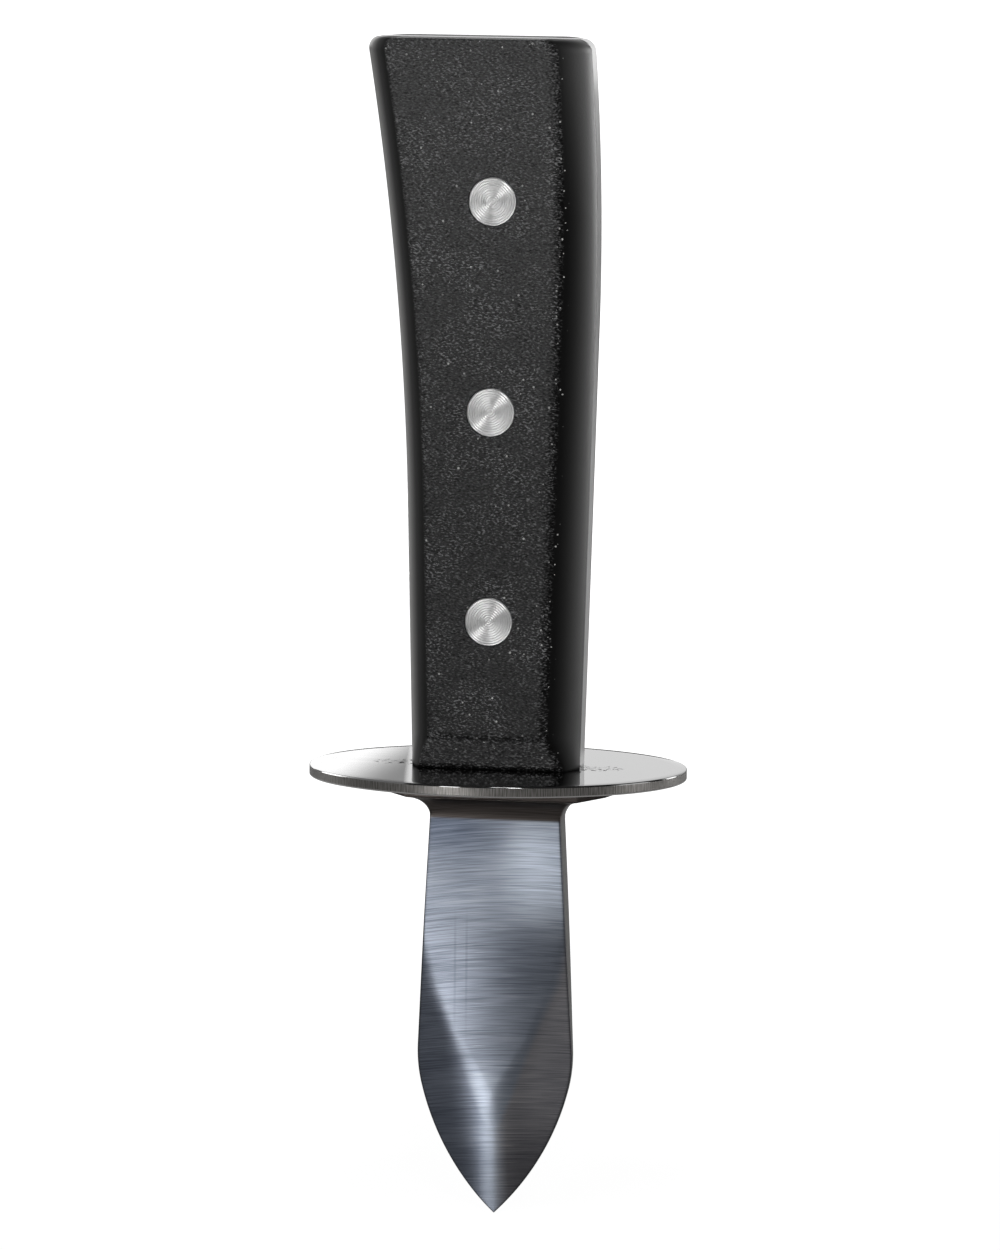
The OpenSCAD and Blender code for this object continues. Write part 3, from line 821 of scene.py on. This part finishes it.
# Painted shade: the left bevel, both bevels near the tip and a corner by the bolster are darker.
tip = times(plus(times(left, 0.35), right), ramp_mm(z, 21, 5))
corner = times(ramp_mm(z, 49, 56.5), ramp_mm(x, 4, -6))
tints = {
    "left bevel": (times(left, 0.8), (0.66, 0.67, 0.71)),
    "right bevel": (times(right, 0.9), (1.18, 1.04, 0.92)),
    "tip": (tip, (0.42, 0.42, 0.43)),
    # Painted highlight along the ridge.
    "ridge": (ridge, (2.5, 2.5, 2.45)),
    "corner": (corner, (0.55, 0.58, 0.64)),
}
for line_x in LINES_X:
    aside = math_node("ABSOLUTE", minus(x, line_x * MM))
    stretch = times(ramp_mm(z, 22, 36), ramp_mm(z, 46, 39))
    drawn_line = times(ramp_mm(aside, LINE_HALF, 0.08, 0.0, 0.22), stretch)
    tints[f"line at {line_x}"] = (drawn_line, (0.3, 0.32, 0.36))
for where, tint in tints.values():
    tone = blend(where, tone, tint, "MULTIPLY")
print("tints:", ", ".join(tints))
tone = blend(times(edge, 0.85), blend(wall, tone, WALL_GREY), EDGE_GREY)

# Painted shade: the bolster under the guard is darker and brown.
under_guard_shade = times(ramp_mm(z, 57.45, 57.95), ramp_mm(z, 64.2, 63.9))
painted_shade_steel = blend(brush["Tone"], PAINTED_SHADE_DARK, PAINTED_SHADE_LIGHT)
relief = bump(brush["Height"], 0.012 * MM, 0.35)
dress(forged_steel, Base_Color=blend(under_guard_shade, tone, painted_shade_steel),
      Roughness=ramp(brush["Tone"], 0.0, 1.0, 0.34, 0.28), Normal=relief)

# %% Sizes of the blade and the bolster
BLADE_LENGTH, BLADE_T, EDGE_T = 62.0, 3.8, 0.8
NECK_W, SHOULDER_W, SHOULDER_Z = 19.2, 23.0, 22.0
SHOULDER_R, POINT_R = 20.0, 38.0
BEVEL_W, BEVEL_LEAN = 7.5, math.radians(16.8)
FLANGE_W, FLANGE_D, FLARE_R, FLARE_SLOPE = 36.4, 10.0, 3.2, math.radians(11)
FLARE_RUN = (FLANGE_W - NECK_W) / 2
NECK_Z = BLADE_LENGTH - (FLARE_RUN - FLARE_R) * math.tan(FLARE_SLOPE) - FLARE_R / math.cos(FLARE_SLOPE)
half_chord = math.hypot(SHOULDER_W / 2, SHOULDER_Z) / 2
chord_tilt = math.atan2(SHOULDER_W / 2, SHOULDER_Z)
arc_rise = math.sqrt(POINT_R ** 2 - half_chord ** 2)
ARC_X = SHOULDER_W / 4 - arc_rise * math.cos(chord_tilt)
ARC_Z = SHOULDER_Z / 2 + arc_rise * math.sin(chord_tilt)
flank_lean = math.atan2((SHOULDER_W - NECK_W) / 2, NECK_Z - SHOULDER_Z)
flank_out = Vector((math.cos(flank_lean), math.sin(flank_lean)))
flank_up = Vector((-flank_out.y, flank_out.x))
reach = Vector((SHOULDER_W / 2 - ARC_X, SHOULDER_Z - ARC_Z)) - SHOULDER_R * flank_out
dip = reach.dot(flank_up)
rise = -dip - math.sqrt(dip ** 2 - reach.length_squared + (POINT_R - SHOULDER_R) ** 2)
SHOULDER_C = Vector((ARC_X, ARC_Z)) + reach + rise * flank_up
SHOULDER_TOP = SHOULDER_C.y + SHOULDER_R * flank_out.y
SHOULDER_FOOT = ARC_Z + POINT_R * (SHOULDER_C.y - ARC_Z) / (POINT_R - SHOULDER_R)
print(f"shoulder from {SHOULDER_FOOT:.2f} to {SHOULDER_TOP:.2f}, neck at {NECK_Z:.2f}")


def blade_half_width(z):
    """Half the width of the blade at height z: the point's arc, the shoulder's arc, the straight flank."""
    point = ARC_X + np.sqrt(np.clip(POINT_R ** 2 - (z - ARC_Z) ** 2, 0, None))
    shoulder = SHOULDER_C.x + np.sqrt(np.clip(SHOULDER_R ** 2 - (z - SHOULDER_C.y) ** 2, 0, None))
    flank = SHOULDER_W / 2 + (z - SHOULDER_Z) / (NECK_Z - SHOULDER_Z) * (NECK_W - SHOULDER_W) / 2
    return np.where(z < SHOULDER_FOOT, point, np.where(z < SHOULDER_TOP, shoulder, flank))


def bevel_depth(x, z):
    """Distance in from the edge that the right-hand bevel is ground to, along its arc and run-out."""
    dx, dz = x - ARC_X, z - ARC_Z
    out = (math.cos(BEVEL_LEAN), -math.sin(BEVEL_LEAN))
    up = (math.sin(BEVEL_LEAN), math.cos(BEVEL_LEAN))
    past = dx * up[0] + dz * up[1]
    return np.where(past > 0, POINT_R - (dx * out[0] + dz * out[1]), POINT_R - np.hypot(dx, dz))


RIDGE_SOFT, TIP_SOFT, TIP_SOFT_Z = 0.2, 0.9, 26
EDGE_ROUND, FLAT_CROWN = 0.16, 0.5


def blade_thickness(x, z):
    """Half the thickness at a point of the blade, and masks of its bevels, its ridge and its edge."""
    slope = (BLADE_T - EDGE_T) / 2 / BEVEL_W
    right = EDGE_T / 2 + bevel_depth(x, z) * slope
    left = EDGE_T / 2 + bevel_depth(-x, z) * slope
    crown = FLAT_CROWN * step_up(NECK_Z - z - 6, 18) ** 1.5
    flat = BLADE_T / 2 - crown * (x / (SHOULDER_W / 2)) ** 2
    soft = RIDGE_SOFT + (TIP_SOFT - RIDGE_SOFT) * step_up(TIP_SOFT_Z - z, 14)
    half = soft_min(soft_min(flat, right, soft), left, soft)
    from_edge = blade_half_width(z) - np.abs(x)
    ridge_x = -0.4 - 0.8 * step_up(z - 6, 12)
    ridge_w = np.where(x < ridge_x, 2.9, 2.6)
    masks = {"left_bevel": np.clip((flat - left) / 0.15 + 0.5, 0, 1) * step_up(-x, 2.2),
             "right_bevel": np.clip((flat - right) / 0.15 + 0.5, 0, 1) * step_up(x, 2.2),
             "ridge": step_up(25 - z, 12) * band(x - ridge_x, ridge_w),
             "edge": band(from_edge, 0.26)}
    return np.maximum(half - rounding(from_edge, EDGE_ROUND), 0.05), masks


# %% Build the blade and the bolster
def flare_height(offset):
    """Height of the bolster's underside at a distance out from the neck: a hollow, then a slope."""
    touch = FLARE_R * (1 - math.sin(FLARE_SLOPE))
    hollow = NECK_Z + np.sqrt(np.clip(FLARE_R ** 2 - (FLARE_R - np.clip(offset, 0, FLARE_R)) ** 2, 0, None))
    slope = BLADE_LENGTH - (FLARE_RUN - offset) * math.tan(FLARE_SLOPE)
    return np.where(offset < touch, hollow, slope)


def flange_outline(inner):
    """The point of the flange's outline that each point of the neck's outline runs out to."""
    corner = np.array([NECK_W / 2, BLADE_T / 2])
    half_bar, radius = FLANGE_W / 2 - FLANGE_D / 2, FLANGE_D / 2
    b = (corner[0] - half_bar) + corner[1]
    k = (-b + math.sqrt(b * b - 2 * ((corner[0] - half_bar) ** 2 + corner[1] ** 2 - radius ** 2))) / 2
    turn_at = math.atan2(corner[1] + k, corner[0] + k - half_bar)
    face_length = radius * (math.pi / 2 - turn_at) + half_bar
    x, y = np.abs(inner).T
    on_face = y >= corner[1] - 1e-6
    travel = x / corner[0] * face_length
    t = np.where(on_face, math.pi / 2 - (travel - half_bar) / radius, turn_at * y / corner[1])
    on_bar = on_face & (travel <= half_bar)
    out_x = np.where(on_bar, travel, half_bar + radius * np.cos(t))
    out_y = np.where(on_bar, radius, radius * np.sin(t))
    return np.copysign(np.stack([out_x, out_y], 1), inner)


def build_forging():
    """Blade and bolster as one loft of loops, closed at the point and on top of the flange."""
    # The points of a loop are closer beside its edges, and the loops at the point of the blade.
    edge_share = 0.06
    near_edge = np.linspace(0, 1, 9)[1:] ** 1.5 * edge_share
    middle = np.linspace(edge_share - 1, 1 - edge_share, 64)[1:-1]
    share = np.concatenate([[-1], -1 + near_edge, middle, 1 - near_edge[::-1], [1]])
    wall = np.array([-0.5, 0.0, 0.5])
    heights = np.unique(np.concatenate([
        0.02 + 3.0 * np.linspace(0, 1, 22) ** 1.4, np.linspace(3.2, SHOULDER_Z, 60),
        np.linspace(SHOULDER_Z, NECK_Z, 90)]))
    loops, values = [], {}
    for z in heights:
        x = share * blade_half_width(np.array(z))
        y, masks = blade_thickness(x, np.full_like(x, z))
        masks["wall"] = (np.abs(share) > 0.9999) * 1.0
        loop_x = np.concatenate([x, np.full(3, x[-1]), x[::-1], np.full(3, x[0])])
        loop_y = np.concatenate([-y, wall * y[-1], y[::-1], -wall * y[-1]])
        loops.append(np.column_stack([loop_x, loop_y, np.full(len(loop_x), z)]))
        for label, mask in masks.items():
            beside = np.full(3, 1.0 if label == "wall" else 0.0)
            values.setdefault(label, []).append(np.concatenate([mask, beside, mask[::-1], beside]))
    neck = loops[-1][:, :2]
    square = neck.copy()
    flat = np.abs(neck[:, 1]) > BLADE_T / 2 - EDGE_ROUND - 0.3
    square[flat, 1] = np.sign(neck[flat, 1]) * BLADE_T / 2
    outer = flange_outline(square)
    spread = np.concatenate([0.5 * np.linspace(0, 1, 18)[1:] ** 1.7, np.linspace(0.56, 1, 8)])
    for q in spread:
        ring = neck + (outer - neck) * q
        a, b = np.abs(ring[:, 0]) - NECK_W / 2, np.abs(ring[:, 1]) - BLADE_T / 2
        offset = -soft_min(-a, -b, 0.5)
        z = flare_height(np.clip(offset, 0, FLARE_RUN))
        loops.append(np.column_stack([ring, np.minimum(z, GUARD_Z - 1.0)]))
    rim_soft = 0.2
    rim_low = loops[-1][:, 2].copy()
    shrink = 1 - rim_soft / (FLANGE_D / 2)
    loops[-1][:, :2] = outer * shrink
    count = len(outer)
    loops += [np.column_stack([outer, rim_low + rim_soft]),
              np.column_stack([outer, np.full(count, GUARD_Z - rim_soft)]),
              np.column_stack([outer * shrink, np.full(count, GUARD_Z)])]
    points = np.concatenate(loops + [[[0, 0, 0]], [[0, 0, GUARD_Z]]])
    faces = list(grid_faces(len(loops), count, closed=True))
    tip, cap = len(points) - 2, len(points) - 1
    last = (len(loops) - 1) * count
    faces += [(tip, (j + 1) % count, j) for j in range(count)]
    faces += [(cap, last + j, last + (j + 1) % count) for j in range(count)]
    blank = np.zeros(len(points) - count * len(heights))
    values = {label: np.concatenate(rows + [blank]) for label, rows in values.items()}
    return finish_mesh("blade_and_bolster", points, faces, forged_steel, values, angle=42)


blade = build_forging()
tell(blade)

# %% [markdown]
# The tang and the boss are flat work with square corners, which the construction already has right.
# They are cut from a merged copy of its mesh, so that no second outline has to be kept in step. The cut
# lies just above the flange's top, which the loft has closed.

# %% Cut the tang and the boss from the construction's mesh
def build_tang():
    """The part of the forging above the flange, closed underneath and cleared of needless edges."""
    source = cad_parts["blade_and_tang"]
    work = bmesh.new()
    work.from_mesh(source.data)
    bmesh.ops.remove_doubles(work, verts=work.verts, dist=0.0005 * MM)
    level = Vector((0, 0, GUARD_Z + 0.02)) * MM
    bmesh.ops.bisect_plane(work, geom=work.verts[:] + work.edges[:] + work.faces[:], dist=1e-7,
                           plane_co=level, plane_no=(0, 0, 1), clear_inner=True)
    bmesh.ops.holes_fill(work, edges=[e for e in work.edges if e.is_boundary])
    bmesh.ops.dissolve_limit(work, angle_limit=math.radians(0.5), verts=work.verts, edges=work.edges)
    mesh = bpy.data.meshes.new("tang_and_boss")
    work.to_mesh(mesh)
    work.free()
    mesh.materials.clear()
    mesh.materials.append(guard_steel)
    smooth(mesh, angle=30)
    return new_object("tang_and_boss", mesh)


tang = build_tang()
tell(tang)
for piece, slot in ((blade, "forged_steel"), (tang, "guard_steel")):
    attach(piece, "root")
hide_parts("blade_and_tang")

# %% [markdown]
# The studio is plain: a pale floor, a white surround and seven soft boxes. The floor reads white to the
# camera and still takes the knife's shadow. The surround is white to the camera only, because every
# piece of steel would mirror a white one. So each box stands where the metal needs its light: a small
# one above the camera for the bow ties of the rivets, a tall one in front for the flat of the blade,
# one at each side for the edges, a small one overhead, a wide one behind that the top of the guard
# mirrors, and one for the back of the knife.

# %% Floor and surround
floor_white, tree, place = new_material("floor_white", Roughness=0.9)
dress(floor_white, Base_Color=blend(noise(place, 3.0), 0.44, 0.46))
glow = add(tree, "ShaderNodeEmission", {"Color": (1, 1, 1, 1), "Strength": 1.25})
far = add(tree, "ShaderNodeVectorMath", {0: place}, operation="LENGTH").outputs["Value"]
cover = times(add(tree, "ShaderNodeLightPath").outputs["Is Camera Ray"], ramp(far, 0.05, 0.45, 0.75, 1.0))
mix = add(tree, "ShaderNodeMixShader", {
    0: cover, 1: tree.nodes["Principled BSDF"].outputs[0], 2: glow.outputs[0]})
plug(tree.nodes["Material Output"].inputs["Surface"], mix.outputs[0])
FLOOR_HALF = 12.0
floor_mesh = bpy.data.meshes.new("floor")
floor_mesh.from_pydata([(i * FLOOR_HALF, j * FLOOR_HALF, 0) for i, j in ((-1, -1), (1, -1), (1, 1), (-1, 1))],
                       [], [(0, 1, 2, 3)])
floor_mesh.materials.append(floor_white)
floor = new_object("floor", floor_mesh)
floor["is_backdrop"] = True

bpy.context.scene.world = bpy.data.worlds.new("studio")
bpy.context.scene.world.use_nodes = True
tree = bpy.context.scene.world.node_tree
ambient = feed(tree.nodes["Background"], Color=(1, 1, 1, 1), Strength=0.08)
white = add(tree, "ShaderNodeBackground", {"Color": (1, 1, 1, 1), "Strength": 1.0})
rays = add(tree, "ShaderNodeLightPath").outputs
seen = largest(rays["Is Camera Ray"], rays["Is Transmission Ray"])
mix = add(tree, "ShaderNodeMixShader", {0: seen, 1: ambient.outputs[0], 2: white.outputs[0]})
plug(tree.nodes["World Output"].inputs["Surface"], mix.outputs[0])

# %% Lamps
def soft_box(name, azimuth, elevation, distance, size, power):
    """A rectangular soft box that faces the middle of the knife, by degrees, metres and watts."""
    data = bpy.data.lights.new(name, "AREA")
    data.shape = "RECTANGLE"
    data.size, data.size_y = size
    data.energy = power
    lamp = new_object(name, data)
    outward = way_to(azimuth, elevation)
    lamp.location = CAMERA_AIM + outward * distance
    lamp.rotation_euler = (-outward).to_track_quat("-Z", "Y").to_euler()
    lamp.visible_camera = False


soft_box("key_box", 16, 25, 1.2, (0.14, 0.14), 2.1)
soft_box("front_box", -20, 6, 1.3, (0.24, 0.7), 6)
soft_box("right_box", 94, 8, 1.2, (0.65, 1.2), 7)
soft_box("left_box", -105, 8, 1.2, (0.6, 1.2), 5)
soft_box("top_box", 8, 66, 1.2, (0.2, 0.2), 2)
soft_box("rear_box", 180, 19, 1.5, (3.0, 0.9), 8.8)
soft_box("back_box", 138, 4, 1.3, (0.35, 0.8), 5)
print("soft boxes:", len(bpy.data.lights))

# %% [markdown]
# Filmic colour would grey the white floor, so the view is Standard. The last check sets the size of the
# finished knife beside that of its construction.

bpy.context.scene.view_settings.view_transform = "Standard"
visual_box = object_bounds()
for label, box in (("cad", cad_box), ("visual", visual_box)):
    print(label, "box", [[round(c / MM, 2) for c in corner] for corner in box])
